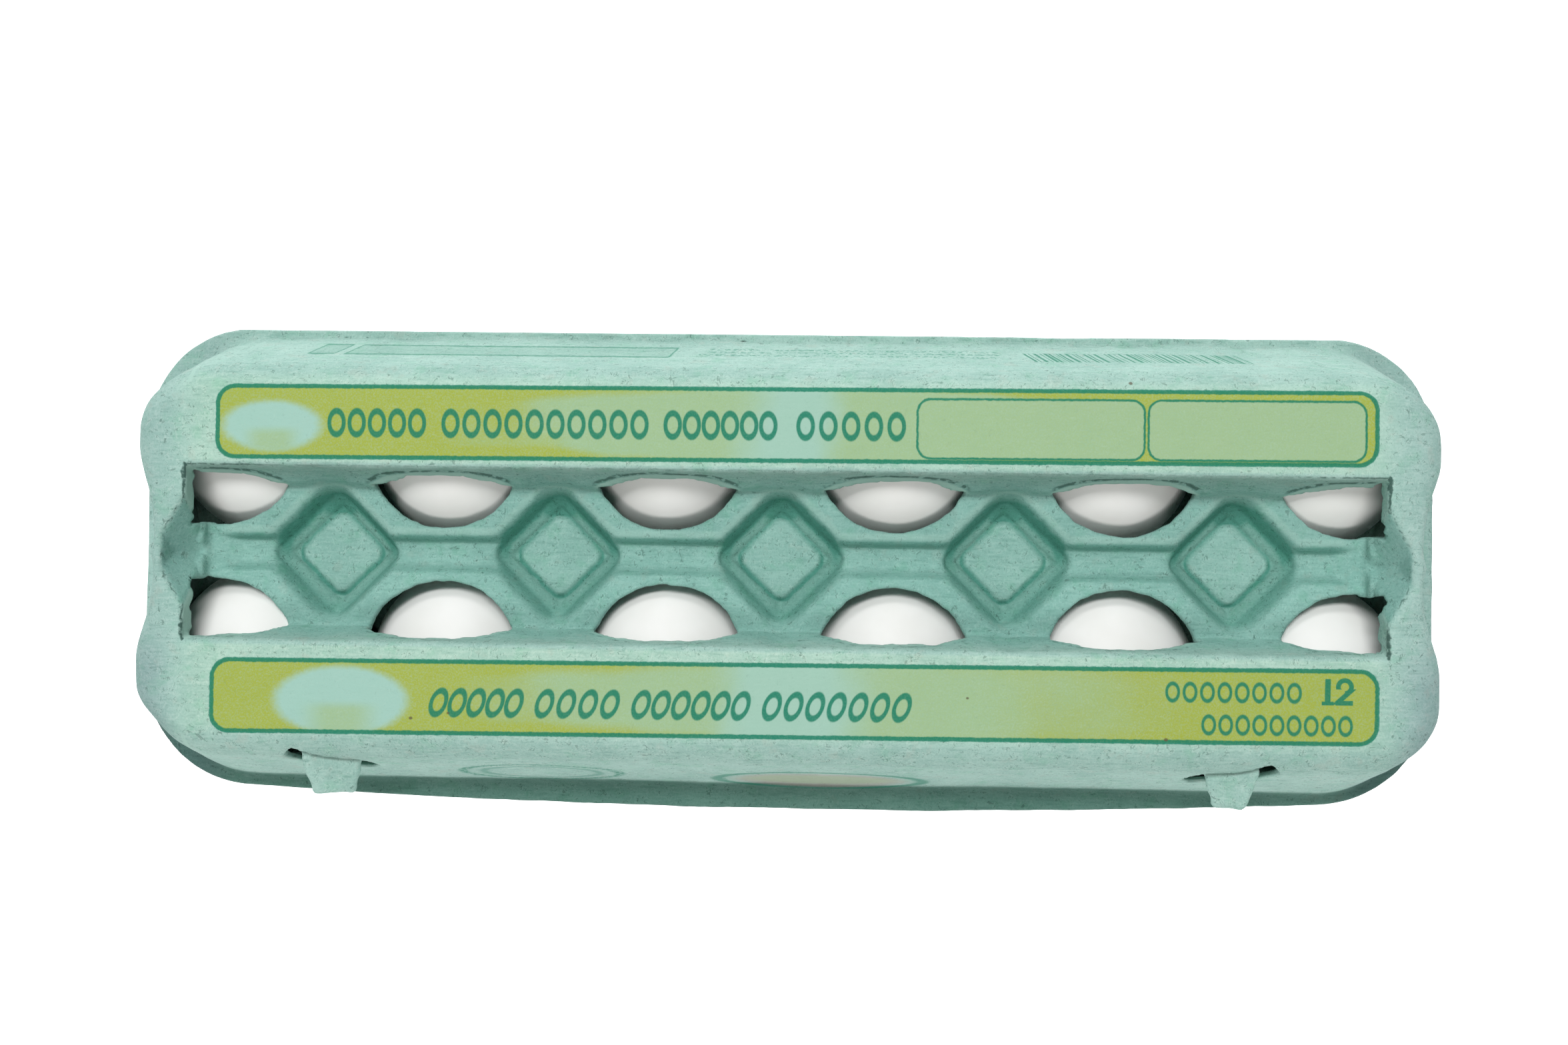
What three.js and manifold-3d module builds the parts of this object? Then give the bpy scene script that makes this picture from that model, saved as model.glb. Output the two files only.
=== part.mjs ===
// Moulded-pulp carton for a dozen eggs, closed, with an egg in every cup.
// Millimetres, +Z up, X along the carton, +Y towards the hinge at the back.
// Shapes are worked out about the middle of the lid's valley; the group at the end
// moves them so that the origin is the middle of the base.
import * as THREE from 'three';
import { mergeVertices } from 'three/addons/utils/BufferGeometryUtils.js';
import Module from 'manifold-3d';

const wasm = await Module();
wasm.setup();

// ---- driving dimensions -------------------------------------------------
const pitch = 50; // from one cup to the next along a row
const columns = 6;
const rowY = 24.4; // either row's distance from the valley
const cupFromMiddle = [25, 74.6, 121.5]; // the end cups sit a little closer than the pitch
const skin = 2; // thickness of the pulp
const gap = 0.3; // clearance between separate pieces

// The flange where lid and tray meet. `back` and `front` are distances from the valley;
// the front edge bows outwards by `bow` in the middle.
const flange = { halfLength: 150.5, back: 52.5, front: 58.5, backCorner: 24, frontCorner: 27, thick: 2 };
const bow = { depth: 3.3, reach: 125, power: 2.2 };
const trayTop = 36; // top of the tray's flange, just under the hinge line
const lidBase = trayTop + gap;
const lidTop = 66;

// Lid walls: their foot on the flange, draft, and the shoulder's run.
const lidWall = {
  foot: { end: 146.5, back: 50.3, front: 53 },
  corner: 24,
  draft: { end: 0.25, back: 0.38, front: 0.38 },
  shoulder: { end: 5, back: 3.4, front: 3.4 },
  shoulderStart: 59,
  waistDepth: 5.4,
  waistShoulder: 2.5,
  waistReach: 23,
  waistBump: 1.3,
};

// The valley sunk into the lid between its two flat strips.
const valley = {
  halfLength: 128.3, halfWidth: 18.7, wallRun: 2.4,
  collarZ: 55.2,
  channelZ: 52.2, channelHalf: 2.5, channelStep: 1.6,
};

// The square basins between the windows, turned by 45 degrees: distance from the middle
// to a side, core half-size that sets the corner rounding, and height.
const basin = [
  { side: 7.5, core: 5.3, z: 47.3 },
  { side: 8.7, core: 6.6, z: 49.3 },
  { side: 10.1, core: 8.0, z: valley.channelZ },
  { side: 13.1, core: 8.8, z: valley.collarZ },
];
const pad = { side: 6.8, core: 5.0, z: 48.6, flare: 0.6 };

// Windows: the inner edge is part of an ellipse, the outer edge lies under the strip.
const win = { apex: 6.05, halfWidth: 16.6, depth: 14.8, outer: 23, top: 60.2, endX: 130.6, endTop: 62.8 };

// Trough that runs out of each end of the valley: half-widths at its floor and rim.
const trough = {
  floorZ: 55.4, tip: 131.4, rimTip: 133.2,
  floorHalf: 5.5, rimHalf: 12, tipHalf: 1.6, rimTipHalf: 3.6,
};

// Lock flap inside the lid's front wall, with two tongues out through slots.
const lock = {
  x: 98.1, slotWidth: 20, slotZ: 59.7, slotHeight: 3.4, slotLean: 17, tongueLean: 12,
  tongueRoot: 12.6, tongueTip: 8, tongueTurn: 46.5, tongueEnd: 52, tongueZ: 59.6, thick: 1.6,
  halfLength: 116, bandTop: 45, earWidth: 12.6, clear: 0.7,
};

// Tray cup, inside profile from the floor up: radius and height.
const cupInside = [[9, 2], [15, 6.6], [19.2, 14.5], [21.8, 25], [22.9, trayTop]];
const footRadius = 9.5;
const ridgeZ = 31; // low walls between neighbouring cups
const web = { halfLength: 141.5, halfWidth: 41.4, lower: 26, taper: 1.5, corner: 20 };
const post = { lowRadius: 12, topRadius: 6, topZ: 44 };

// Eggs, one row per entry: radius, half length, shift along X and Y, lean in degrees.
const eggFloor = 2.6;
const eggTaper = 0.13;
const backEggs = [
  [21.3, 28.4, 0.6, 0.1, 3.2], [21.4, 28.8, 0.4, -0.2, 1], [21.2, 28.2, -0.3, 0.2, -1.2],
  [21.5, 28.9, 0.4, 0.1, 1.4], [21.3, 28.3, -0.7, -0.1, -2], [21.4, 28.7, -0.3, 0.2, -0.6],
];
const frontEggs = [
  [21.3, 28.6, 0.7, 0.2, 3.4], [21.4, 28.3, 0.4, 0.1, 1.6], [21.5, 28.9, -0.3, -0.1, -0.9],
  [21.3, 28.4, 0.4, 0.2, 1.3], [21.4, 28.7, -0.5, -0.2, -1.9], [21.2, 28.2, -0.4, 0.1, -1.1],
];

const around = 16; // sides of each round form
const cornerSteps = 7;

// ---- materials ----------------------------------------------------------
const pulp = () => new THREE.MeshStandardMaterial({ color: 0x9fcfc0, roughness: 0.95, metalness: 0 });
const shell = () => new THREE.MeshStandardMaterial({ color: 0xf1eeea, roughness: 0.55, metalness: 0 });

// ---- solids -------------------------------------------------------------
function solidOf(geometry) {
  geometry.deleteAttribute('normal');
  geometry.deleteAttribute('uv');
  const merged = mergeVertices(geometry, 1e-4);
  return new wasm.Manifold(new wasm.Mesh({
    numProp: 3,
    vertProperties: new Float32Array(merged.attributes.position.array),
    triVerts: new Uint32Array(merged.index.array),
  }));
}

function geometryOf(solid) {
  const mesh = solid.getMesh();
  const geometry = new THREE.BufferGeometry();
  geometry.setAttribute('position', new THREE.BufferAttribute(new Float32Array(mesh.vertProperties), 3));
  geometry.setIndex(new THREE.BufferAttribute(new Uint32Array(mesh.triVerts), 1));
  geometry.computeVertexNormals();
  return geometry;
}

// Closed solid through rings of the same number of points, lowest first, anticlockwise
// from above, with a flat cap on the first and the last.
function loft(rings) {
  const count = rings[0].length;
  const position = rings.flat(2);
  const index = [];
  for (let level = 0; level + 1 < rings.length; level++) {
    for (let i = 0; i < count; i++) {
      const a = level * count + i;
      const b = level * count + ((i + 1) % count);
      index.push(a, b, b + count, a, b + count, a + count);
    }
  }
  const cap = (ring) => THREE.ShapeUtils.triangulateShape(ring.map(([x, y]) => new THREE.Vector2(x, y)), []);
  const top = (rings.length - 1) * count;
  for (const [a, b, c] of cap(rings[0])) index.push(c, b, a);
  for (const [a, b, c] of cap(rings.at(-1))) index.push(top + a, top + b, top + c);
  const geometry = new THREE.BufferGeometry();
  geometry.setAttribute('position', new THREE.Float32BufferAttribute(position, 3));
  geometry.setIndex(index);
  return solidOf(geometry);
}

const atHeight = (points, z) => points.map(([x, y]) => [x, y, z]);
const union = (solids) => solids.reduce((sum, solid) => sum.add(solid));

function block(x0, x1, y0, y1, z0, z1) {
  const box = new THREE.BoxGeometry(x1 - x0, y1 - y0, z1 - z0);
  box.translate((x0 + x1) / 2, (y0 + y1) / 2, (z0 + z1) / 2);
  return solidOf(box);
}

function lathe(profile, x, y) {
  const geometry = new THREE.LatheGeometry(profile.map(([r, z]) => new THREE.Vector2(r, z)), around);
  geometry.rotateX(Math.PI / 2);
  geometry.translate(x, y, 0);
  return solidOf(geometry);
}

// ---- outlines -----------------------------------------------------------
// How far the lid's ends draw in at the valley, with a small swelling in the middle.
function waistShape(y) {
  const reach = Math.min(1, Math.abs(y) / lidWall.waistReach);
  const hollow = 0.5 + 0.5 * Math.cos(Math.PI * reach ** 1.6);
  const bump = Math.max(0, 1 - Math.abs(y) / 4.5) * lidWall.waistBump / lidWall.waistDepth;
  return hollow - bump;
}

// Quarter of a circle about (x, y), anticlockwise from the given quarter turn.
function quarter(x, y, radius, turn) {
  return Array.from({ length: cornerSteps + 1 }, (_, i) => {
    const angle = (Math.PI / 2) * (turn + i / cornerSteps);
    return [x + radius * Math.cos(angle), y + radius * Math.sin(angle)];
  });
}

// Rounded rectangle, anticlockwise, with a waist of the given depth at both ends.
function outlineOf(halfLength, back, front, corner, waist) {
  const stations = waist ? [-23, -18, -13.5, -9, -4, 0, 4, 9, 13.5, 18, 23] : [0];
  const x = halfLength - corner;
  return [
    ...stations.map((y) => [halfLength - waist * waistShape(y), y]),
    ...quarter(x, back - corner, corner, 0),
    ...quarter(-x, back - corner, corner, 1),
    ...[...stations].reverse().map((y) => [-halfLength + waist * waistShape(y), y]),
    ...quarter(-x, -front + corner, corner, 2),
    ...quarter(x, -front + corner, corner, 3),
  ];
}

// Outline of the flange, with its front edge bowed.
function flangeOutline() {
  const { halfLength, back, front, backCorner, frontCorner } = flange;
  const edge = (x) => -front + bow.depth * Math.min(1, Math.abs(x) / bow.reach) ** bow.power;
  const cornerY = -front + bow.depth + frontCorner;
  return [
    [halfLength, 0],
    ...quarter(halfLength - backCorner, back - backCorner, backCorner, 0),
    ...quarter(-halfLength + backCorner, back - backCorner, backCorner, 1),
    [-halfLength, 0],
    ...quarter(-halfLength + frontCorner, cornerY, frontCorner, 2),
    ...[-100, -72, -40, 0, 40, 72, 100].map((x) => [x, edge(x)]),
    ...quarter(halfLength - frontCorner, cornerY, frontCorner, 3),
  ];
}

// Distance that the shoulder has drawn in at height z, for a shoulder of the given run.
function shoulderRun(z, run, top) {
  const t = Math.max(0, (z - lidWall.shoulderStart) / (top - lidWall.shoulderStart));
  return run * (1 - Math.sqrt(Math.max(0, 1 - t * t)));
}

// Where the lid's wall stands on one side at height z, from the middle of the valley.
function wallAt(side, z, top) {
  const rise = Math.max(0, z - lidBase - flange.thick);
  return lidWall.foot[side] - rise * lidWall.draft[side] - shoulderRun(z, lidWall.shoulder[side], top);
}

// Outline of the lid's wall at height z; `offset` moves it inwards for the inner face.
function lidOutline(z, offset, top) {
  const [end, back, front] = ['end', 'back', 'front'].map((side) => wallAt(side, z, top) - offset);
  const waist = lidWall.waistDepth - shoulderRun(z, lidWall.shoulder.end - lidWall.waistShoulder, top);
  const corner = lidWall.corner - (lidWall.foot.end - end);
  return outlineOf(end, back, front, corner, waist);
}

// Square turned by 45 degrees with rounded corners, about (x, 0).
function diamond(side, core, x) {
  const kept = Math.min(core, side - 0.4);
  const points = [];
  for (let quarter = 0; quarter < 4; quarter++) {
    const axis = (quarter * Math.PI) / 2;
    for (let i = -1; i <= 1; i++) {
      const angle = axis + (i * Math.PI) / 6;
      const reach = side - kept;
      const spread = i === 0 ? reach * 1.12 : reach * 1.06;
      points.push([
        x + kept * Math.SQRT2 * Math.cos(axis) + spread * Math.cos(angle),
        kept * Math.SQRT2 * Math.sin(axis) + spread * Math.sin(angle),
      ]);
    }
  }
  return points;
}

const rectangle = (halfX, halfY) => [[-halfX, -halfY], [halfX, -halfY], [halfX, halfY], [-halfX, halfY]];

// ---- lid ----------------------------------------------------------------
const shoulderLevels = [0, 0.4, 0.66, 0.86, 0.97, 1];

function lidBody(offset, top, skirt) {
  const height = (t) => lidWall.shoulderStart + t * (top - lidWall.shoulderStart);
  const rings = shoulderLevels.map((t) => atHeight(lidOutline(height(t), offset, top), height(t)));
  return loft([...skirt, ...rings]);
}

function lidOutside() {
  const wallFoot = lidBase + flange.thick;
  const plate = loft([atHeight(flangeOutline(), lidBase), atHeight(flangeOutline(), wallFoot)]);
  return lidBody(0, lidTop, [atHeight(lidOutline(wallFoot, 0, lidTop), lidBase + 1)]).add(plate);
}

function lidInside() {
  const top = lidTop - skin;
  const foot = lidOutline(lidBase + flange.thick, skin, top);
  return lidBody(skin, top, [atHeight(foot, lidBase - 1), atHeight(foot, lidBase + flange.thick)]);
}

// Everything that the valley takes out of the lid, grown by `grow` for the inner face.
function valleyVoid(grow) {
  const { halfLength, halfWidth, wallRun, collarZ, channelZ, channelHalf, channelStep } = valley;
  const lift = 4;
  const slope = wallRun / (lidTop - collarZ);
  const high = lidTop + lift;
  const wide = (z, half) => half + grow - slope * (lidTop - z);
  const solids = [loft([
    atHeight(rectangle(wide(collarZ, halfLength + 1.4), wide(collarZ, halfWidth)), collarZ - grow),
    atHeight(rectangle(wide(high, halfLength + 1.4), wide(high, halfWidth)), high),
  ])];
  const side = grow * 0.8;
  solids.push(loft([
    atHeight(rectangle(halfLength - 1.6, channelHalf + side), channelZ - grow),
    atHeight(rectangle(halfLength, channelHalf + channelStep + side), collarZ - grow),
    atHeight(rectangle(halfLength, channelHalf + channelStep + side), collarZ - grow + 1),
  ]));
  for (let i = 0; i < columns - 1; i++) {
    const x = (i - (columns - 2) / 2) * pitch;
    const rings = basin.map((b) => atHeight(diamond(b.side + side, b.core + side * 0.7, x), b.z - grow));
    const last = basin.at(-1);
    rings.push(atHeight(diamond(last.side + side + 0.6, last.core + side * 0.7, x), last.z - grow + 0.6));
    solids.push(loft(rings));
  }
  for (const end of [-1, 1]) solids.push(endTrough(end, grow));
  return union(solids);
}

function endTrough(end, grow) {
  const start = valley.halfLength - 5;
  const shape = (tip, half, tipHalf, turn) => {
    const side = [[start, half], [turn, half], [tip, tipHalf]];
    const points = [...side.map(([x, y]) => [x, -y]), ...side.reverse()];
    const mirrored = points.map(([x, y]) => [end * x, y]);
    return end > 0 ? mirrored : mirrored.reverse();
  };
  const { floorZ, tip, rimTip, floorHalf, rimHalf, tipHalf, rimTipHalf } = trough;
  const turn = valley.halfLength + grow;
  const rim = shape(rimTip + grow, rimHalf + grow, rimTipHalf + grow, turn + 0.5);
  return loft([
    atHeight(shape(tip + grow, floorHalf + grow, tipHalf + grow, turn), floorZ - grow),
    atHeight(rim, lidTop),
    atHeight(rim, lidTop + 3),
  ]);
}

function lidPads() {
  const pads = [];
  for (let i = 0; i < columns - 1; i++) {
    const x = (i - (columns - 2) / 2) * pitch;
    pads.push(loft([
      atHeight(diamond(pad.side + pad.flare, pad.core, x), basin[0].z - 1),
      atHeight(diamond(pad.side, pad.core, x), pad.z),
    ]));
  }
  return union(pads);
}

// Vertical cut of one window; `side` is +1 at the back row and -1 at the front row.
function windowCut(column, side) {
  const x = (column - (columns - 1) / 2) * pitch;
  const end = column === 0 ? -1 : column === columns - 1 ? 1 : 0;
  const steps = 14;
  const inner = [];
  for (let i = 0; i <= steps; i++) {
    const dx = win.halfWidth * Math.sin((Math.PI / 2) * (-1 + (2 * i) / steps));
    const rise = win.depth * (1 - Math.sqrt(Math.max(0, 1 - (dx / win.halfWidth) ** 2)));
    inner.push([x + dx, win.apex + rise]);
  }
  const clip = (point) => (end ? [end * Math.min(end * point[0], win.endX), point[1]] : point);
  const kept = inner.map(clip).filter((p, i, all) => i === 0 || Math.abs(p[0] - all[i - 1][0]) > 0.01);
  const last = kept.at(-1)[0];
  const outline = [...kept, [last, win.outer], [kept[0][0], win.outer]].map(([px, py]) => [px, side * py]);
  const points = side > 0 ? outline : outline.reverse();
  const top = end ? win.endTop : win.top;
  return loft([atHeight(points, basin[0].z - 6), atHeight(points, top)]);
}

// Slots for the tongues; their outer ends lie a little higher.
function slotCuts() {
  return [-1, 1].map((end) => {
    const half = lock.slotWidth / 2;
    const rise = lock.slotHeight / 2;
    const cut = block(-half, half, -flange.front, -valley.halfWidth - 20, -rise, rise);
    return cut.rotate([0, -end * lock.slotLean, 0]).translate([end * lock.x, 0, lock.slotZ]);
  });
}

function makeLid() {
  const outside = lidOutside().subtract(valleyVoid(0)).add(lidPads());
  const inside = lidInside().subtract(valleyVoid(skin));
  const cuts = slotCuts();
  for (let column = 0; column < columns; column++) cuts.push(windowCut(column, 1), windowCut(column, -1));
  return outside.subtract(inside).subtract(union(cuts)).subtract(endEggRoom());
}

// ---- tray ---------------------------------------------------------------
function cupX(column) {
  const half = columns / 2;
  return column < half ? -cupFromMiddle[half - 1 - column] : cupFromMiddle[column - half];
}

function eachCup(make) {
  const columnNumbers = Array.from({ length: columns }, (_, column) => column);
  return [1, -1].flatMap((side) => columnNumbers.map((column) => make(cupX(column), side * rowY)));
}

function cupOutsideProfile() {
  const wall = cupInside.slice(1).map(([r, z]) => [r + skin, z]);
  return [[0, 0], [footRadius, 0], [footRadius + 3, 1.6], ...wall, [0, trayTop]];
}

function cupInsideProfile() {
  const rim = cupInside.at(-1)[0];
  return [[0, cupInside[0][1]], ...cupInside, [rim, trayTop + 12], [0, trayTop + 12]];
}

// Rounded block between the cups, tapering downwards.
function webBlock(inset, low, high) {
  const ring = (z) => {
    const draw = inset + web.taper * (1 - (z - web.lower) / (trayTop - web.lower));
    const half = web.halfWidth - draw;
    return atHeight(outlineOf(web.halfLength - draw, half, half, web.corner - draw, 0), z);
  };
  return loft([ring(low), ring(high)]);
}

function posts(grow) {
  const made = [];
  for (let i = 0; i < columns - 1; i++) {
    const x = (i - (columns - 2) / 2) * pitch;
    const [low, high] = [ridgeZ - 3 - grow, post.topZ - grow];
    const profile = [[0, low], [post.lowRadius - grow, low], [post.topRadius - grow, high], [0, high]];
    made.push(lathe(profile, x, 0));
  }
  return union(made);
}

function makeTray() {
  const cups = union(eachCup((x, y) => lathe(cupOutsideProfile(), x, y)));
  const hollows = union(eachCup((x, y) => lathe(cupInsideProfile(), x, y)));
  const mouth = webBlock(skin, ridgeZ, trayTop + 5);
  const rim = loft([atHeight(flangeOutline(), trayTop - flange.thick), atHeight(flangeOutline(), trayTop)]);
  const body = cups.add(webBlock(0, web.lower, trayTop)).add(rim).subtract(mouth).add(posts(0));
  const under = webBlock(skin, web.lower - 2, ridgeZ - skin).add(posts(skin)).subtract(cups);
  return body.subtract(hollows).subtract(under);
}

// ---- lock flap ----------------------------------------------------------
// Inner face of the lid's front wall at height z.
const frontInside = (z) => -(wallAt('front', z, lidTop - skin) - skin);

// Sheet that follows the wall from z0 to z1, between x0 and x1.
function flapSheet(x0, x1, heights) {
  const outer = heights.map((z) => [frontInside(z) + lock.clear, z]);
  const inner = heights.map((z) => [frontInside(z) + lock.clear + lock.thick, z]).reverse();
  const section = [...outer, ...inner];
  const shape = new THREE.Shape(section.map(([y, z]) => new THREE.Vector2(y, z)));
  const geometry = new THREE.ExtrudeGeometry(shape, { depth: x1 - x0, bevelEnabled: false });
  // the section's (y, z) becomes world Y and Z, its depth world X
  geometry.applyMatrix4(new THREE.Matrix4().set(0, 0, 1, x0, 1, 0, 0, 0, 0, 1, 0, 0, 0, 0, 0, 1));
  return solidOf(geometry);
}

function tongue(end) {
  const root = frontInside(lock.tongueZ - lock.thick) + lock.clear + lock.thick;
  const [tipHalf, rootHalf] = [lock.tongueTip / 2, lock.tongueRoot / 2];
  const halves = [[tipHalf, -lock.tongueEnd], [rootHalf, -lock.tongueTurn], [rootHalf, root]];
  const outline = [
    ...halves.map(([half, y]) => [half, y]),
    ...halves.map(([half, y]) => [-half, y]).reverse(),
  ];
  const plate = loft([atHeight(outline, -lock.thick / 2), atHeight(outline, lock.thick / 2)]);
  return plate.rotate([0, -end * lock.tongueLean, 0]).translate([end * lock.x, 0, lock.tongueZ]);
}

function makeLockFlap() {
  const bandHeights = [lidBase, lidBase + flange.thick, lock.bandTop];
  const earHeights = [lock.bandTop - 2, lock.tongueZ + lock.thick / 2];
  const parts = [flapSheet(-lock.halfLength, lock.halfLength, bandHeights)];
  for (const end of [-1, 1]) {
    const x = end * lock.x;
    parts.push(flapSheet(x - lock.earWidth / 2, x + lock.earWidth / 2, earHeights), tongue(end));
  }
  return union(parts);
}

// ---- eggs ---------------------------------------------------------------
function eggGeometry(radius, halfLength) {
  const rings = 8;
  const width = (u) => Math.sqrt(Math.max(0, 1 - u * u)) * (1 + eggTaper * u);
  const widest = Math.max(...Array.from({ length: 201 }, (_, i) => width(-1 + i / 100)));
  const profile = [];
  for (let i = 0; i <= rings; i++) {
    const u = -Math.cos((Math.PI * i) / rings);
    profile.push(new THREE.Vector2(i % rings ? (radius * width(u)) / widest : 0, halfLength * u));
  }
  const geometry = new THREE.LatheGeometry(profile, around);
  geometry.rotateX(Math.PI / 2);
  geometry.deleteAttribute('normal');
  geometry.deleteAttribute('uv');
  return mergeVertices(geometry, 1e-4);
}

function eggAt(side, column, grow = 0) {
  const [radius, halfLength, dx, dy, lean] = (side > 0 ? backEggs : frontEggs)[column];
  const egg = new THREE.Mesh(eggGeometry(radius + grow, halfLength + grow), shell());
  egg.name = `egg_${side > 0 ? 'back' : 'front'}_${column + 1}`;
  egg.position.set(cupX(column) + dx, side * rowY + dy, eggFloor + halfLength);
  egg.rotation.y = THREE.MathUtils.degToRad(lean);
  return egg;
}

function makeEggs() {
  return [1, -1].flatMap((side) => Array.from({ length: columns }, (_, column) => eggAt(side, column)));
}

// Room for the four end eggs, which lean against the torn ends of the windows.
function endEggRoom() {
  const rooms = [1, -1].flatMap((side) => [0, columns - 1].map((column) => {
    const egg = eggAt(side, column, 2 * gap);
    egg.updateMatrixWorld();
    return solidOf(egg.geometry.applyMatrix4(egg.matrixWorld));
  }));
  return union(rooms);
}

// ---- assembly -----------------------------------------------------------
function named(solid, name) {
  const mesh = new THREE.Mesh(geometryOf(solid), pulp());
  mesh.name = name;
  return mesh;
}

const carton = new THREE.Group();
carton.add(named(makeTray(), 'tray'), named(makeLockFlap(), 'lock_flap'), named(makeLid(), 'lid'));
carton.add(...makeEggs());
carton.position.y = (flange.front - flange.back) / 2;

export default carton;
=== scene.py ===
import bpy
import math
import numpy as np
from mathutils import Matrix, Vector


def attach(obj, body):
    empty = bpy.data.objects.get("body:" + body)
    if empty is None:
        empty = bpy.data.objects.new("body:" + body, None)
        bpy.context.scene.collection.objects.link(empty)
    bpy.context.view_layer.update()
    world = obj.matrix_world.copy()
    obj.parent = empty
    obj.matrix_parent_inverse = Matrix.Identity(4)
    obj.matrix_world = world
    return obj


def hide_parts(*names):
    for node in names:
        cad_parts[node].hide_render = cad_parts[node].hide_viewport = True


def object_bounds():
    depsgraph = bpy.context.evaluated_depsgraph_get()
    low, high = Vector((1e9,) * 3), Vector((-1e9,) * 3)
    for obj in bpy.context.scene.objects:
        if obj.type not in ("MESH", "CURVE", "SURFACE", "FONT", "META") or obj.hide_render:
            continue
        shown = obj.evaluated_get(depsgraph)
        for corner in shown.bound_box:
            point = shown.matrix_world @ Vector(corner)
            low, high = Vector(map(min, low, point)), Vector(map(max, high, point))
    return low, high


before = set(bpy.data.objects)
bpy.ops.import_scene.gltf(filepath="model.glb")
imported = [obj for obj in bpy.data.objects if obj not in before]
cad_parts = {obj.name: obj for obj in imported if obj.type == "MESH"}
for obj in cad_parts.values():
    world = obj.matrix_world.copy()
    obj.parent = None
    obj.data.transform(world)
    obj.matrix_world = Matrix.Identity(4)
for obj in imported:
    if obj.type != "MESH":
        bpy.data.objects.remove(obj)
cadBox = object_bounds()

# Shapes are worked out in millimetres about the middle of the lid's valley, x along the
# carton and y towards the hinge. toRow moves them into the row's frame, in metres. pitch is
# that of the windows and basins. hingeGap, in metres, parts lid and tray when folded back.
valleyShift = 3.0
pitch = 50.0
hingeGap = 0.0001


def toRow(points):
    return (points + np.array([0.0, valleyShift, 0.0])) * 0.001


def blendMin(a, b, k):
    h = np.maximum(k - np.abs(a - b), 0.0) / k
    return np.minimum(a, b) - h * h * k * 0.25


def blendMax(a, b, k):
    return -blendMin(-a, -b, k)


def roundMax(a, b, r):
    # outer edge rounded to radius r where two faces meet
    return np.minimum(np.maximum(a, b), -r) + np.hypot(np.maximum(a + r, 0.0), np.maximum(b + r, 0.0))


def hashUnit(ix, iy, iz, seed):
    h = (ix.astype(np.int64) * 374761393 + iy.astype(np.int64) * 668265263
         + iz.astype(np.int64) * 2147483647 + seed * 1274126177) & 0xFFFFFFFF
    h = ((h ^ (h >> 13)) * 1274126177) & 0xFFFFFFFF
    h = ((h ^ (h >> 16)) * 2246822519) & 0xFFFFFFFF
    return ((h ^ (h >> 15)) & 0xFFFFFF) / float(0xFFFFFF) * 2.0 - 1.0


def lumps(x, y, z, size, seed):
    # smooth noise from -1 to 1 with features of the given size in mm
    x, y, z = np.broadcast_arrays(x / size, y / size, z / size)
    fx, fy, fz = np.floor(x), np.floor(y), np.floor(z)
    tx, ty, tz = (t * t * (3.0 - 2.0 * t) for t in (x - fx, y - fy, z - fz))
    total = 0.0
    for dx in (0, 1):
        for dy in (0, 1):
            for dz in (0, 1):
                weight = (tx if dx else 1 - tx) * (ty if dy else 1 - ty) * (tz if dz else 1 - tz)
                total = total + weight * hashUnit(fx + dx, fy + dy, fz + dz, seed)
    return total


def rolls(x, y, z, waves):
    # unevenness in mm: the sum of lumps given as (height, size, seed)
    return sum(height * lumps(x, y, z, size, seed) for height, size, seed in waves)


def gridLine(*spans):
    # grid coordinates from (start, end, step) spans that follow one another
    parts = [np.linspace(start, end, max(1, round((end - start) / step)), endpoint=False)
             for start, end, step in spans]
    return np.concatenate(parts + [[spans[-1][1]]])


def surfaceFrom(distance, axes):
    # closed quads on the zero level of distance(x, y, z) over a grid, as points and faces
    x, y, z = axes[0][:, None, None], axes[1][None, :, None], axes[2][None, None, :]
    value = np.asarray(distance(x, y, z), dtype=np.float32)
    inside = value < 0
    corner = [(i, j, k) for i in (0, 1) for j in (0, 1) for k in (0, 1)]
    shape = [n - 1 for n in value.shape]

    def part(array, c):
        return array[c[0]:c[0] + shape[0], c[1]:c[1] + shape[1], c[2]:c[2] + shape[2]]

    count = sum(part(inside, c).astype(np.int8) for c in corner)
    cells = np.argwhere((count > 0) & (count < 8))
    number = np.full(shape, -1, dtype=np.int64)
    number[tuple(cells.T)] = np.arange(len(cells))
    values = {c: value[tuple((cells + c).T)] for c in corner}
    total = np.zeros((len(cells), 3))
    crossings = np.zeros(len(cells))
    for a in corner:
        for axis in range(3):
            if a[axis]:
                continue
            b = tuple(a[i] + (i == axis) for i in range(3))
            va, vb = values[a], values[b]
            cut = (va < 0) != (vb < 0)
            at = np.tile(np.array(a, dtype=float), (len(cells), 1))
            at[:, axis] = np.where(cut, va / np.where(cut, va - vb, 1.0), 0.0)
            total += at * cut[:, None]
            crossings += cut
    share = total / crossings[:, None]
    points = np.stack([axes[i][cells[:, i]] + share[:, i] * np.diff(axes[i])[cells[:, i]]
                       for i in range(3)], axis=1)
    faces = []
    for axis in range(3):
        u, v = (axis + 1) % 3, (axis + 2) % 3
        first, second = [slice(1, -1)] * 3, [slice(1, -1)] * 3
        first[axis], second[axis] = slice(0, -1), slice(1, None)
        a, b = inside[tuple(first)], inside[tuple(second)]
        start = np.ones(3, dtype=int)
        start[axis] = 0
        for into in (True, False):
            at = np.argwhere((a & ~b) if into else (b & ~a)) + start
            ring = []
            for du, dv in ((-1, -1), (0, -1), (0, 0), (-1, 0)):
                cell = at.copy()
                cell[:, u] += du
                cell[:, v] += dv
                ring.append(number[tuple(cell.T)])
            faces.append(np.stack(ring if into else ring[::-1], axis=1))
    return points, np.concatenate(faces)


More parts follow.
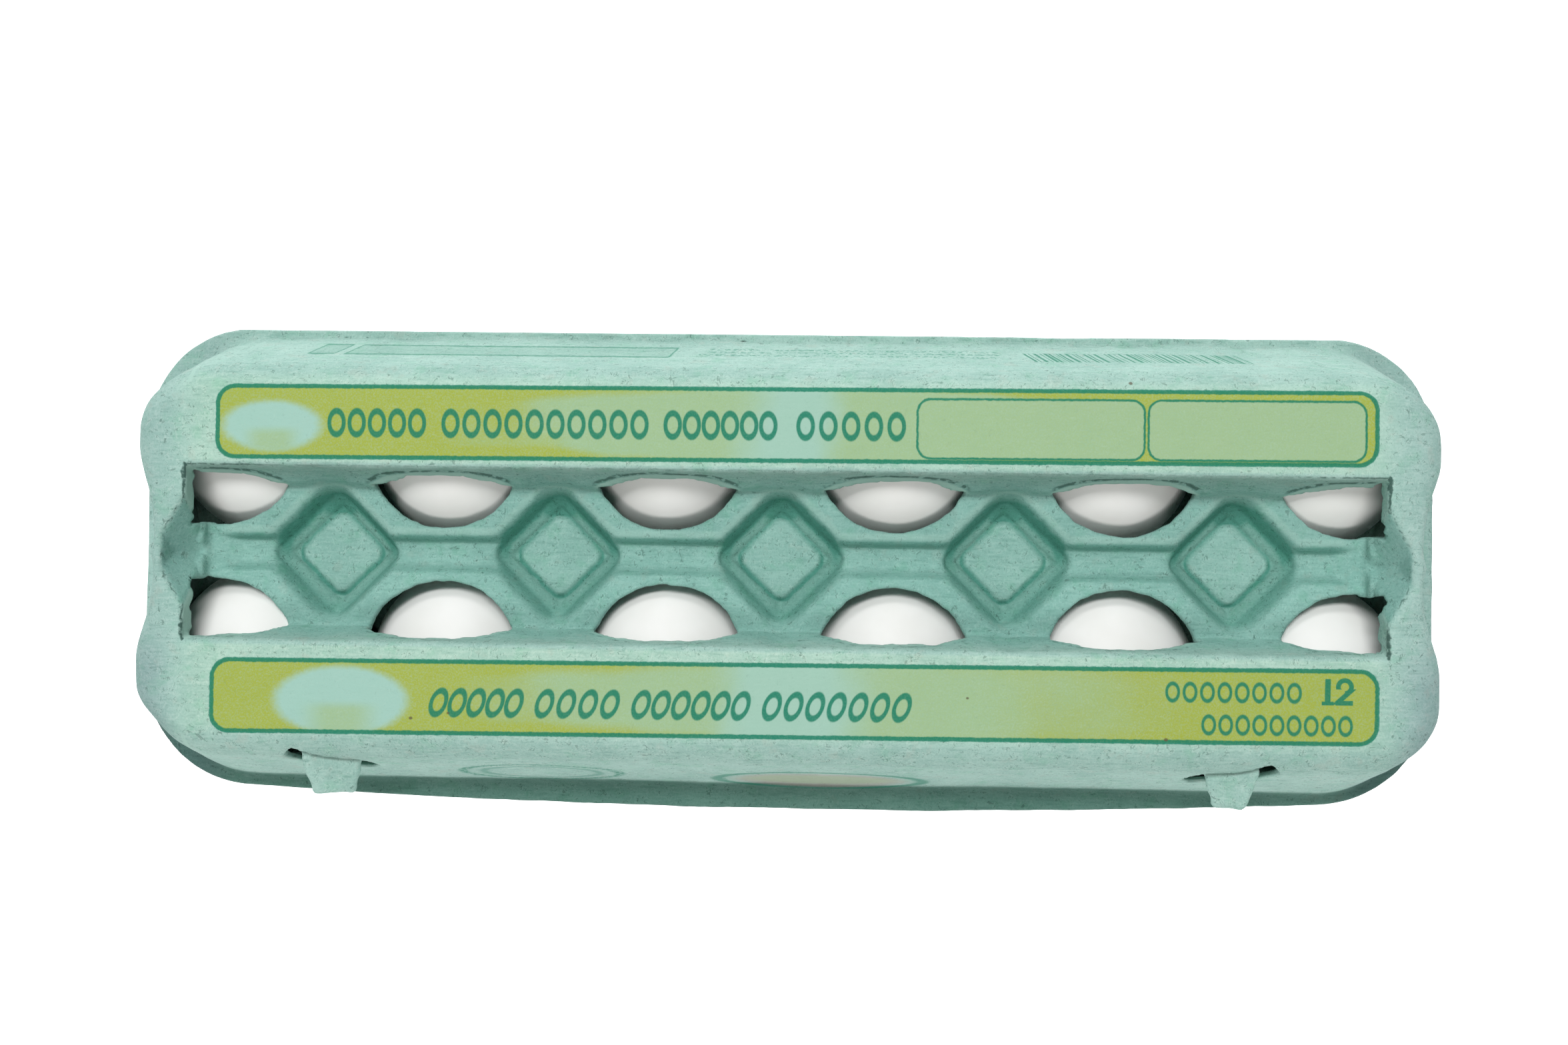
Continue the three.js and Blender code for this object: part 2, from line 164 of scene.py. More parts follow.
def settle(points, distance, reach=0.35):
    # moves points onto the zero level of distance, by no more than reach
    step = 0.12
    for _ in range(2):
        x, y, z = points.T
        value = distance(x, y, z)
        slope = np.stack([distance(x + step, y, z) - value, distance(x, y + step, z) - value,
                          distance(x, y, z + step) - value], axis=1) / step
        size = np.linalg.norm(slope, axis=1).clip(0.35)
        points = points - slope * (value / size ** 2).clip(-reach, reach)[:, None]
    return points


def addPiece(mesh, material):
    # a smooth object in the scene, named as its mesh
    mesh.polygons.foreach_set("use_smooth", np.ones(len(mesh.polygons), dtype=bool))
    mesh.materials.append(material)
    piece = bpy.data.objects.new(mesh.name, mesh)
    bpy.context.scene.collection.objects.link(piece)
    return piece


def meshObject(name, points, faces, material):
    low, high = (np.array(corner) for corner in cadBox)
    places = np.clip(toRow(points), low, high - np.array([0.0, hingeGap, 0.0]))
    mesh = bpy.data.meshes.new(name)
    sides = faces.shape[1]
    mesh.vertices.add(len(points))
    mesh.vertices.foreach_set("co", places.astype(np.float32).ravel())
    mesh.loops.add(faces.size)
    mesh.loops.foreach_set("vertex_index", faces.astype(np.int32).ravel())
    mesh.polygons.add(len(faces))
    mesh.polygons.foreach_set("loop_start", np.arange(0, faces.size, sides, dtype=np.int32))
    mesh.update(calc_edges=True)
    mesh.validate()
    return addPiece(mesh, material)


class Wire:
    # a shader socket that can be added, multiplied and compared like a number

    def __init__(self, tree, socket):
        self.tree, self.socket = tree, socket

    def node(self, kind, settings=None, values=None, out=0):
        made = self.tree.nodes.new(kind)
        for key, value in (settings or {}).items():
            setattr(made, key, value)
        for key, value in (values or {}).items():
            if isinstance(value, Wire):
                self.tree.links.new(value.socket, made.inputs[key])
            else:
                made.inputs[key].default_value = value
        return Wire(self.tree, made.outputs[out])

    def maths(self, operation, *values):
        return self.node("ShaderNodeMath", {"operation": operation}, dict(enumerate((self, *values))))

    def __add__(self, other):
        return self.maths("ADD", other)

    __radd__ = __add__

    def __sub__(self, other):
        return self.maths("SUBTRACT", other)

    def __rsub__(self, other):
        return self.node("ShaderNodeMath", {"operation": "SUBTRACT"}, {0: other, 1: self})

    def __mul__(self, other):
        return self.maths("MULTIPLY", other)

    __rmul__ = __mul__

    def __truediv__(self, other):
        return self.maths("DIVIDE", other)

    def __neg__(self):
        return self.maths("MULTIPLY", -1.0)

    def __abs__(self):
        return self.maths("ABSOLUTE")

    def __pow__(self, other):
        return self.maths("POWER", other)

    def least(self, other):
        return self.maths("MINIMUM", other)

    def most(self, other):
        return self.maths("MAXIMUM", other)

    def length(self, other):
        return (self * self + other * other).maths("SQRT")

    def ramp(self, low, high):
        # 0 below low and 1 above high, smooth between them
        settings = {"interpolation_type": "SMOOTHSTEP"}
        return self.node("ShaderNodeMapRange", settings, {0: self, 1: low, 2: high, 3: 0.0, 4: 1.0})

    def under(self, low, high):
        # 1 below low and 0 above high
        return 1 - self.ramp(low, high)

    def near(self, middle, low, high):
        # 1 within low of the middle value, and 0 further from it than high
        return abs(self - middle).under(low, high)

    def mixed(self, other, share):
        # colours: this one, and other where share is 1
        settings = {"data_type": "RGBA"}
        return self.node("ShaderNodeMix", settings, {0: share, 6: self, 7: other}, out=2)

    def tinted(self, other, share):
        # colours: this one, multiplied by other where share is 1
        settings = {"data_type": "RGBA", "blend_type": "MULTIPLY"}
        return self.node("ShaderNodeMix", settings, {0: share, 6: self, 7: other}, out=2)


def newMaterial(name):
    material = bpy.data.materials.new(name)
    material.use_nodes = True
    tree = material.node_tree
    tree.nodes.clear()
    output = tree.nodes.new("ShaderNodeOutputMaterial")
    shader = tree.nodes.new("ShaderNodeBsdfPrincipled")
    tree.links.new(shader.outputs[0], output.inputs[0])
    place = tree.nodes.new("ShaderNodeTexCoord")
    return material, Wire(tree, place.outputs["Object"]), shader


def split(place):
    # the row's x, y and z of a shaded point, in mm about the valley
    parts = place.tree.nodes.new("ShaderNodeSeparateXYZ")
    place.tree.links.new(place.socket, parts.inputs[0])
    x, y, z = (Wire(place.tree, parts.outputs[i]) * 1000.0 for i in range(3))
    return x, y - valleyShift, z


def noise(place, size, detail=2.0, roughness=0.5):
    # 0 to 1, with features of the given size in mm
    values = {"Vector": place, "Scale": 1000.0 / size, "Detail": detail, "Roughness": roughness}
    return place.node("ShaderNodeTexNoise", {}, values)


def between(low, high, share):
    # a colour that goes from low to high as share goes from 0 to 1
    return share.node("ShaderNodeMix", {"data_type": "RGBA"}, {0: share, 6: low, 7: high}, out=2)


def shade(r, g, b):
    # linear colour from 0-255 values
    def linear(v):
        v /= 255.0
        return v / 12.92 if v <= 0.04045 else ((v + 0.055) / 1.055) ** 2.4
    return (linear(r), linear(g), linear(b), 1.0)


pulp = {
    "base": shade(155, 192, 182),
    "pale": shade(167, 202, 192),
    "green": shade(142, 191, 172),
    "deep": shade(98, 142, 131),
    "darkFibre": shade(62, 92, 82),
    "lightFibre": shade(186, 214, 205),
    "warm": shade(176, 178, 168),
    # painted light on ledges, lips and crests
    "torn": shade(170, 206, 194),
    # painted shade over the valley's recess
    "valleyPaintedShade": (0.68, 0.83, 0.82, 1.0),
    # painted shade on the valley's grooves and steps
    "groovePaintedShade": (0.3, 0.57, 0.51, 1.0),
    # painted shade on the front flange
    "flangePaintedShade": (0.33, 0.44, 0.41, 1.0),
    "lobeTint": (0.81, 0.78, 0.84, 1.0),
    # painted light on the top strips
    "stripPaintedLight": (1.13, 1.1, 1.04, 1.0),
    # painted shade in cracks and creases
    "paintedShade": shade(40, 74, 66),
    "fibreTurns": (0.2, 1.1, 2.0, 2.8),
}


def fibres(place, turn, size, width, density):
    # short thin strokes lying one way: a stretched noise cut to its ridges
    mapped = place.node("ShaderNodeMapping", {"vector_type": "TEXTURE"}, {
        "Vector": place, "Rotation": (0.2, 0.15, turn), "Scale": (1.0, 4.5, 1.0)})
    strokes = mapped.node("ShaderNodeTexNoise", {}, {
        "Vector": mapped, "Scale": 1000.0 / size, "Detail": 0.0, "Distortion": 1.2})
    patches = noise(place, size * 1.6, 0.0)
    return strokes.near(0.5, width * 0.4, width) * patches.ramp(density, density + 0.05)


def pulpColour(place):
    mottle = noise(place, 12.0, 4.0, 0.6)
    tint = noise(place, 4.5, 3.0, 0.6)
    grain = noise(place, 0.42, 2.0, 0.6)
    drawnOut = place.node("ShaderNodeMapping", {"vector_type": "TEXTURE"}, {
        "Vector": place, "Scale": (7.0, 1.0, 1.0)})
    laid = noise(drawnOut, 0.55, 1.0)
    colour = between(pulp["base"], pulp["pale"], mottle.ramp(0.34, 0.66))
    colour = colour.mixed(pulp["green"], tint.ramp(0.52, 0.72) * 0.6)
    colour = colour.mixed(pulp["warm"], tint.under(0.3, 0.42) * 0.22)
    colour = colour.mixed(pulp["deep"], grain.under(0.3, 0.62) * 0.2)
    colour = colour.mixed(pulp["lightFibre"], laid.ramp(0.54, 0.74) * 0.3)
    colour = colour.mixed(pulp["deep"], laid.under(0.26, 0.44) * 0.25)
    for number, turn in enumerate(pulp["fibreTurns"]):
        light = fibres(place, turn, 0.8 + number * 0.1, 0.05, 0.56)
        colour = colour.mixed(pulp["lightFibre"], light * 0.3)
        dark = fibres(place, turn + 0.5, 0.7 + number * 0.1, 0.04, 0.66)
        colour = colour.mixed(pulp["darkFibre"], dark * 0.42)
    return colour, grain


def setSurface(shader, height, finish):
    bump = height.node("ShaderNodeBump", {}, {
        "Strength": finish["strength"], "Distance": finish["distance"], "Height": height})
    height.tree.links.new(bump.socket, shader.inputs["Normal"])
    shader.inputs["Roughness"].default_value = finish["roughness"]
    shader.inputs["Specular IOR Level"].default_value = finish["specular"]


def pulpSurface(shader, place, grain):
    height = grain * 0.35 + noise(place, 2.4, 2.0, 0.55) * 0.65
    setSurface(shader, height, {"strength": 0.5, "distance": 0.0002, "roughness": 0.95, "specular": 0.2})


def setColour(shader, colour):
    colour.tree.links.new(colour.socket, shader.inputs["Base Color"])


def makePulp():
    material, place, shader = newMaterial("mouldedPulp")
    colour, grain = pulpColour(place)
    setColour(shader, colour)
    pulpSurface(shader, place, grain)
    return material


printed = {
    "line": shade(10, 124, 98),
    "lime": shade(160, 174, 66),
    "sage": shade(156, 186, 140),
    "sky": shade(158, 200, 190),
    "rose": shade(176, 150, 146),
    "speck": shade(96, 84, 66),
    "height": 16.1, "corner": 4.2,
    # each band: left and right, the y of its lower edge at both, where its lime and sky fields
    # fade, its pale oval, and the runs of plain ovals along it
    "back": {
        "x": (-121.3, 125.7), "y": (20.1, 21.1),
        "lime": ((-74.0, -44.0), (56.0, 78.0)), "cloud": 0.5, "rim": 1.0,
        "sky": ((-14.0, -3.0), (5.0, 13.0)), "oval": ((-111.3, -0.9), (10.6, 5.3)),
        "runs": ((-99.5, -77.8), (-75.0, -30.0), (-27.2, -2.8), (0.7, 24.8)), "runY": -0.2, "slant": 0.0,
    },
    "front": {
        "x": (-121.5, 126.1), "y": (-38.6, -37.3),
        "lime": ((-76.0, -34.0), (34.0, 92.0)), "cloud": 1.0, "rim": 0.3,
        "sky": ((-20.0, -8.0), (8.0, 22.0)), "oval": ((-95.5, -0.9), (14.3, 7.3)),
        "runs": ((-76.4, -56.2), (-54.0, -35.4), (-33.2, -7.8), (-5.6, 26.4)), "runY": -1.1, "slant": 0.25,
    },
    # in the back band: the middle and half length of each box
    "boxes": ((50.7, 23.9), (98.1, 22.7)), "boxMiddle": -0.57, "boxHalf": 6.3, "boxCorner": 2.8,
    # in the front band: the start, end and y of each small run, and the numeral's box
    "smallRuns": ((79.0, 108.0, 2.9), (86.6, 118.6, -3.9)), "numeral": (112.0, 0.6, 6.0),
    "large": {"half": (1.55, 2.5), "period": 4.4, "width": 0.85},
    "small": {"half": (1.25, 1.8), "period": 3.7, "width": 0.6},
    "specks": ((81.8, -36.6, 0.42), (-78.0, -34.8, 0.4), (-70.0, -33.6, 0.3), (40.2, -28.6, 0.3),
               (-21.0, 52.0, 0.3), (74.0, 38.4, 0.42)),
}


def roundBox(x, y, middle, half, corner):
    # distance from a rounded rectangle's edge, negative inside
    dx = abs(x - middle[0]) - (half[0] - corner)
    dy = abs(y - middle[1]) - (half[1] - corner)
    outside = dx.most(0.0).length(dy.most(0.0))
    return outside + dx.most(dy).least(0.0) - corner


def oval(x, y, middle, half):
    # roughly the distance from an ellipse's edge in mm
    size = ((x - middle[0]) / half[0]).length((y - middle[1]) / half[1])
    return (size - 1.0) * min(half)


def filled(distance, soft=0.16):
    return distance.under(-soft, soft)


def stroked(distance, width, soft=0.14):
    return abs(distance).under(width / 2 - soft, width / 2 + soft)


def ovalRow(x, y, runs, middle, style, slant=0.0):
    # a row of plain outlined ovals along each run
    along = x - (y - middle) * slant
    total = None
    for start, end in runs:
        count = max(1, round((end - start) / style["period"]))
        step = (end - start) / count
        offset = (along - start).maths("FLOORED_MODULO", step) - step / 2
        shape = stroked(oval(offset, y, (0.0, middle), style["half"]), style["width"])
        shape = shape * along.ramp(start - 0.05, start) * along.under(end, end + 0.05)
        total = shape if total is None else total.most(shape)
    return total


def twelve(x, y, left, low, high):
    # the plain numeral 12, as bars and an arc
    half = (high - low) / 2
    one = roundBox(x, y, (left + 1.1, low + half), (0.6, half), 0.2)
    foot = roundBox(x, y, (left + 1.1, low + 0.25), (1.25, 0.4), 0.1)
    bowl = oval(x, y, (left + 4.6, high - 1.65), (1.35, 1.35))
    above = (y - (high - 2.2)).most(x - (left + 4.6))
    arc = (abs(bowl) - 0.5).most(-above)
    run = (x - (left + 3.0)) * 0.68 - (y - low - 0.3) * 0.73
    stem = (abs(run) - 0.52).most(y - (high - 2.1)).most(low - y)
    base = roundBox(x, y, (left + 4.5, low + 0.35), (1.8, 0.5), 0.1)
    return filled(one.least(foot).least(arc).least(stem).least(base), 0.1)


def bandFrame(x, y, band):
    # x and y from the band's middle, with its slight tilt taken out
    left, right = band["x"]
    lowLeft, lowRight = band["y"]
    slope = (lowRight - lowLeft) / (right - left)
    middleX = (left + right) / 2
    middleY = (lowLeft + lowRight) / 2 + printed["height"] / 2
    return x - middleX, y - x * slope - (middleY - slope * middleX), (right - left) / 2


def printBand(colour, place, x, y, name, ink):
    band = printed[name]
    bx, by, half = bandFrame(x, y, band)
    rough = (noise(place, 0.9, 2.0) - 0.5) * 0.35
    edge = roundBox(bx, by, (0.0, 0.0), (half, printed["height"] / 2), printed["corner"]) + rough
    cloud = (noise(place, 16.0, 2.0) - 0.5) * 40.0
    rim = abs(by).ramp(4.0, 8.0) * 34.0
    limeLeft, limeRight = band["lime"]
    lime = (bx + cloud - rim).under(*limeLeft)
    lime = lime.most((bx + cloud * band["cloud"] + rim * band["rim"]).ramp(*limeRight))
    skyLeft, skyRight = band["sky"]
    cloudy = bx + cloud * 0.3
    field = between(printed["sage"], printed["lime"], lime)
    field = field.mixed(printed["sky"], cloudy.ramp(*skyLeft) * cloudy.under(*skyRight) * 0.75)
    spot, size = band["oval"]
    pale = (oval(bx, by, spot, size) + rough * 2).under(-0.9, 0.9)
    field = field.mixed(printed["sky"], pale * 0.95)
    lower = pale * (by - spot[1]).under(-2.2, 0.4) * bx.near(spot[0], 2.0, size[0] * 0.7)
    field = field.mixed(printed["sage"], lower * 0.9)
    lines = stroked(edge + 0.45, 0.95)
    marks = ovalRow(bx, by, band["runs"], band["runY"], printed["large"], band["slant"])
    if name == "back":
        for middle, halfX in printed["boxes"]:
            size = (halfX, printed["boxHalf"])
            box = roundBox(bx, by, (middle, printed["boxMiddle"]), size, printed["boxCorner"])
            field = field.mixed(printed["sage"], filled(box + rough))
            lines = lines.most(stroked(box + rough, 0.5))
    else:
        for start, end, runY in printed["smallRuns"]:
            marks = marks.most(ovalRow(bx, by, ((start, end),), runY, printed["small"]))
        marks = marks.most(twelve(bx, by, *printed["numeral"]))
    inside = filled(edge + 0.3)
    colour = colour.mixed(field, inside * ink)
    return colour.mixed(printed["line"], lines.most(marks * inside) * (ink * 0.3 + 0.64))


# faint marks on the sloping walls: places and half sizes as seen from above
faint = {
    "panels": ((-61.4, 36.4), (-103.2, 3.0)), "panelY": 46.4, "panelHalf": 1.7,
    "bars": ((79.0, 45.9), (24.0, 1.5)),
    "dashes": ((14.5, 45.6), (15.5, 46.6), (16.5, 47.6)), "dashHalf": (33.5, 0.3),
    "ring": ((-53.4, -49.0), (17.8, 2.9)), "ringStep": 0.75,
    "stain": ((9.4, -50.2), (23.2, 3.1)), "core": ((9.4, -50.0), (17.0, 1.7)),
}


def printWalls(colour, place, x, y, ink):
    rough = (noise(place, 0.8, 2.0) - 0.5) * 0.4
    slanted = x - (y - 46.3) * 0.35
    bars = noise(place.node("ShaderNodeCombineXYZ", {}, {0: x * 0.001 + y * 0.0006}), 0.8, 1.0)
    barMiddle, barHalf = faint["bars"]
    field = roundBox(x + (y - barMiddle[1]) * 0.6, y, barMiddle, barHalf, 0.1)
    marks = filled(field) * bars.ramp(0.49, 0.53) * 0.75
    for middle, half in faint["panels"]:
        panel = roundBox(slanted, y, (middle, faint["panelY"]), (half, faint["panelHalf"]), 0.2) + rough
        marks = marks.most(stroked(panel, 0.4) * 0.55 + filled(panel) * 0.16)
    dashes = noise(place, 0.9, 1.0).ramp(0.5, 0.56)
    for middle in faint["dashes"]:
        marks = marks.most(filled(roundBox(x, y, middle, faint["dashHalf"], 0.1)) * dashes * 0.5)
    ring = oval(x, y, *faint["ring"]) + rough * 0.3
    broken = noise(place, 0.8, 1.0).ramp(0.46, 0.54)
    marks = marks.most(stroked(ring, 0.35, 0.1) * (broken * 0.4 + 0.25))
    marks = marks.most(stroked(ring + faint["ringStep"], 0.3, 0.1) * 0.4)
    stain = oval(x, y, *faint["stain"]) + rough * 0.3
    colour = colour.mixed(printed["rose"], filled(stain + 0.5, 0.4) * 0.55 * (ink * 0.5 + 0.4))
    colour = colour.mixed(printed["sage"], filled(oval(x, y, *faint["core"]), 0.4) * 0.4)
    marks = marks.most(stroked(stain, 0.4, 0.12) * 0.6)
    return colour.mixed(printed["line"], marks)


def segment(x, y, a, b):
    # distance from the straight line between two points
    run = (b[0] - a[0], b[1] - a[1])
    size = run[0] ** 2 + run[1] ** 2
    share = (((x - a[0]) * run[0] + (y - a[1]) * run[1]) / size).most(0.0).least(1.0)
    return (x - a[0] - share * run[0]).length(y - a[1] - share * run[1])


# where painted shade deepens the valley's colour: half sides of the turned squares round each
# basin's middle, and the y of lines along the channel; crest and crestY place a painted highlight
grooves = {
    "core": 4.6, "pad": 7.2, "basin": 10.7, "crest": 13.0, "cornerY": 11.2,
    "channelBack": 3.5, "channelFront": -3.6, "crestY": 5.2,
}


def paintValleyShade(colour, place, x, y, z):
    ax, ay = abs(x), abs(y)
    inside = z.under(58.0, 65.8) * ay.under(19.2, 20.0) * ax.under(133.0, 134.0)
    ends = ax.ramp(127.9, 128.4) * ax.under(132.8, 133.4) * ay.under(11.0, 12.0)
    inside = inside.most(ends * z.under(64.8, 65.8))
    # painted shade over the whole valley, a little weaker at its floor
    colour = colour.tinted(pulp["valleyPaintedShade"], inside * z.ramp(48.8, 50.5).most(0.72))
    soft = (noise(place, 3.0, 2.0) - 0.5) * 0.8
    fromBasin = (x + pitch / 2).maths("FLOORED_MODULO", pitch) - pitch / 2
    core = grooves["core"]
    p, q = (abs(total) * math.sqrt(0.5) - core for total in (fromBasin + y, fromBasin - y))
    side = p.most(0.0).length(q.most(0.0)) + core + p.most(q).least(0.0) + soft
    behind = y.ramp(-2.5, 3.5)
    padFoot = side.near(grooves["pad"], 0.15, 0.95) * (0.75 - behind * 0.35)
    steepSide = side.near(grooves["basin"], 0.5, 1.9) * (behind * 0.55 + 0.14)
    corner = fromBasin.length((y - grooves["cornerY"]) * 1.5).under(1.5, 6.5) * side.ramp(6.6, 7.6) * 0.95
    floor = side.ramp(6.8, 7.6) * side.under(10.8, 12.8) * 0.46
    around = (padFoot.most(steepSide).most(corner) + floor) * ax.under(114.0, 116.0)
    wavy = y + soft * 0.4
    back = wavy.near(grooves["channelBack"], 0.3, 1.2) * side.ramp(9.5, 11.0) * 0.62
    front = wavy.near(grooves["channelFront"], 0.2, 0.8) * side.ramp(9.5, 11.5) * 0.22
    channel = back.most(front) * ax.under(121.0, 125.0)
    low = z.under(55.8, 57.2)
    # painted highlight along the collar crests round the basins and behind the channel
    crest = y.near(grooves["crestY"], 0.3, 1.2) * side.ramp(12.0, 14.0)
    crest = side.near(grooves["crest"], 0.3, 1.3).most(crest) * behind * ax.under(122.0, 125.0) * 0.3
    # painted shade on the basins' slopes and feet, their back corners and the channel's steps
    colour = colour.tinted(pulp["groovePaintedShade"], (around.most(channel) * low).least(1.0) * inside)
    return colour.mixed(pulp["torn"], crest * low * z.ramp(54.3, 55.0))


# painted shade in the cracks round the ends of the valley, as x and y from its middle, and along its edge
tears = {
    "corner": (128.1, 18.9), "turn": (128.3, 11.5), "tip": (132.5, 4.4), "middle": (132.7, 0.0),
    "edgeY": 18.9,
}


def paintCrackShade(colour, place, x, y, z):
    wobble = (noise(place, 2.2, 3.0, 0.6) - 0.5) * 1.5
    broken = noise(place, 1.6, 2.0)
    ax, ay = abs(x) + wobble, abs(y) + wobble
    corner, turn, tip, middle = tears["corner"], tears["turn"], tears["tip"], tears["middle"]
    wide = ay.ramp(12.0, 19.0) * 0.25 + 0.15
    end = filled(segment(ax, ay, corner, turn) - wide) * broken.ramp(0.3, 0.5)
    side = filled(segment(ax, ay, turn, tip) - 0.14) * broken.ramp(0.38, 0.56) * 0.75
    side = side.most(filled(segment(ax, ay, tip, middle) - 0.1) * broken.ramp(0.42, 0.6) * 0.5)
    edge = filled(abs(y - tears["edgeY"] + wobble * 0.35) - 0.16, 0.14) * abs(x).under(128.0, 128.6)
    edge = edge * (0.3 + 0.5 * abs(x).ramp(108.0, 114.0)) * broken.ramp(0.34, 0.54) * z.ramp(61.5, 63.5)
    # painted shade: dark cracks at the valley's ends and a dark line under the strip's edge
    marks = (end.most(side) * z.ramp(64.4, 65.2)).most(edge)
    return colour.mixed(pulp["paintedShade"], marks * 0.85)


def paintLipLightAndShade(colour, place, x, y, z):
    # painted light on the torn lips over the windows, with a thin line of painted shade above it
    broken = noise(place, 1.6, 2.0)
    fromColumn = x.maths("FLOORED_MODULO", pitch) - pitch / 2
    arch = abs(fromColumn / window["archReach"]) ** window["archPower"]
    ragged = (noise(place, 4.0, 3.0, 0.6) - 0.5) * 1.2
    aboveBack = z - (window["backLip"] - arch * window["backArch"] + ragged)
    ragged = (noise(place, 5.0, 3.0, 0.6) - 0.5) * 1.8
    aboveFront = z - (window["frontLip"] - arch * window["frontArch"] + ragged)
    over = abs(x).under(125.0, 127.0) * arch.under(1.0, 1.3) * abs(y).under(19.4, 20.0) * z.ramp(55.6, 56.4)
    back, front = over * y.ramp(13.0, 14.0), over * y.under(-14.0, -13.0)
    pale = (aboveBack.under(1.6, 2.1) * back).most(aboveFront.under(0.9, 1.4) * front * 0.6)
    dark = filled(abs(aboveBack - 2.8) - 0.55, 0.3) * back * broken.ramp(0.36, 0.5)
    dark = dark.most(filled(abs(aboveFront - 1.9) - 0.3, 0.3) * front * broken.ramp(0.45, 0.6) * 0.6)
    # painted light on the left end wall too
    fromWall = x + valley["halfLength"]
    endWall = fromWall.ramp(-0.3, 0.0) * fromWall.under(0.7, 1.1) * abs(y).ramp(4.6, 5.4)
    pale = pale.most(endWall * z.ramp(60.0, 61.0) * z.under(65.0, 65.4))
    # painted light on the lips and end wall, painted shade in the line above the lips
    return colour.mixed(pulp["torn"], pale * 0.75).mixed(pulp["paintedShade"], dark * 0.7)


def paintFormLightAndShade(colour, x, y, z):
    # painted shade on the front flange, darker lobes, and painted light on the strips beside the valley
    ax, ay = abs(x), abs(y)
    # painted shade where the lid shadows the front flange
    colour = colour.tinted(pulp["flangePaintedShade"], z.under(39.5, 42.5) * y.under(-44.0, -36.0))
    colour = colour.tinted(pulp["lobeTint"], ax.ramp(127.0, 136.0) * (1 - y.ramp(-26.0, -12.0) * 0.6))
    strip = ay.ramp(19.2, 20.0) * ay.under(36.0, 40.0) * ax.under(122.0, 132.0) * z.ramp(63.5, 65.0)
    # painted light on the top strips
    return colour.tinted(pulp["stripPaintedLight"], strip)


def outerSide(y, z):
    # 1 on the lid's outer surface and 0 on its inner one
    rise = (z - lid["flangeTop"]) * lid["draft"]["back"]
    wall = (y - wallPlan["back"] + rise).most(-y - wallPlan["front"] + rise) * 0.936
    return (z - lid["top"]).most(wall).ramp(-1.6, -1.3)


def makePrintedPulp():
    material, place, shader = newMaterial("printedPulp")
    x, y, z = split(place)
    colour, grain = pulpColour(place)
    # painted shade in the valley and on the front flange, painted light on the top strips
    colour = paintFormLightAndShade(paintValleyShade(colour, place, x, y, z), x, y, z)
    ink = 0.72 + 0.24 * grain.ramp(0.3, 0.6)
    outer = outerSide(y, z)
    topColour = printBand(colour, place, x, y, "back", ink)
    topColour = printBand(topColour, place, x, y, "front", ink)
    wallColour = printWalls(colour, place, x, y, ink)
    onWall = abs(y).ramp(41.0, 41.4)
    onTop = z.ramp(55.0, 57.0) * abs(y).ramp(19.0, 19.4) * (1 - onWall)
    colour = colour.mixed(topColour, onTop * outer)
    colour = colour.mixed(wallColour, onWall * z.ramp(38.6, 39.4) * outer)
    # painted shade in the cracks, painted light and shade at the torn lips
    colour = paintLipLightAndShade(paintCrackShade(colour, place, x, y, z), place, x, y, z)
    for speckX, speckY, size in printed["specks"]:
        dot = filled(oval(x, y, (speckX, speckY), (size, size * 0.8)), 0.12)
        colour = colour.mixed(printed["speck"], dot * 0.8 * z.ramp(56.0, 57.0))
    setColour(shader, colour)
    pulpSurface(shader, place, grain)
    return material


flange = {
    "halfLength": 150.5, "back": 52.5, "front": 58.5, "backCorner": 24.0, "frontCorner": 27.0,
    "bow": 3.3, "bowReach": 125.0, "bowPower": 2.2,
}
wallPlan = {"halfLength": 146.5, "back": 50.3, "front": 53.0, "backCorner": 24.0, "frontCorner": 24.0}
noInset = {"end": 0.0, "back": 0.0, "front": 0.0}

lid = {
    "base": 36.3, "top": 66.0, "skin": 1.9, "shoulder": 4.6, "flangeTop": 38.2,
    "draft": {"end": 0.25, "back": 0.38, "front": 0.38},
    # the hollow in the middle of each end, flatter near the top, with a bump in it
    "waistDepth": 5.4, "waistReach": 23.0, "waistShoulder": 1.6, "waistFadeZ": 58.0, "waistFadeOver": 8.0,
    "waistBump": 1.3, "bumpHalf": 4.5,
    # the left end is a little short, with a dent at its front corner
    "leftShort": 0.7, "shortFrom": 118.0, "shortOver": 16.0,
    "leftDent": 1.9, "dentPlace": (-138.0, -38.0), "dentSize": (8.5, 7.0),
}

valley = {
    "halfLength": 127.9, "halfWidth": 18.7, "wallSlope": 0.225, "curlTop": 62.8, "curlOver": 4.4,
    "collar": 55.3, "channel": 52.2, "channelHalf": 2.4, "channelSlope": 0.53,
    "channelEnd": 120.8, "endSlope": 2.2, "channelStop": 127.1,
    "basinCore": 8.0, "grooveFloor": 47.3,
    "padTop": 48.6, "padSide": 6.7, "padCore": 5.0, "padSlope": 0.45,
}
basinLevels = np.array([47.3, 48.9, 50.2, 52.2, 55.3, 58.3])
basinSides = np.array([7.3, 8.2, 10.1, 10.9, 12.7, 14.4])

# the V-shaped trough at each end of the valley, and the ridge before it
trough = {
    "floor": 55.4, "start": 127.0, "tip": 130.9, "tipSlope": 0.18,
    "foldX": 128.3, "foldHalf": 0.75, "foldSlope": 1.76, "foldFloor": 55.5, "foldRise": 0.95,
}
ridge = {"height": 0.7, "x": 127.8, "width": 0.8, "half": 9.0, "top": 58.0}

window = {
    "apex": 6.05, "halfWidth": 16.5, "depth": 14.8, "outer": 23.0, "endX": 130.4,
    "backLip": 60.6, "backArch": 3.8, "backCurl": 1.5,
    "frontLip": 62.2, "frontArch": 4.4, "frontCurl": 0.4,
    "endLip": 61.3, "endFrom": 127.0, "archReach": 15.0, "archPower": 2.5,
}
columnsX = np.arange(-2.5, 3.0) * pitch
basinsX = np.arange(-2.0, 3.0) * pitch

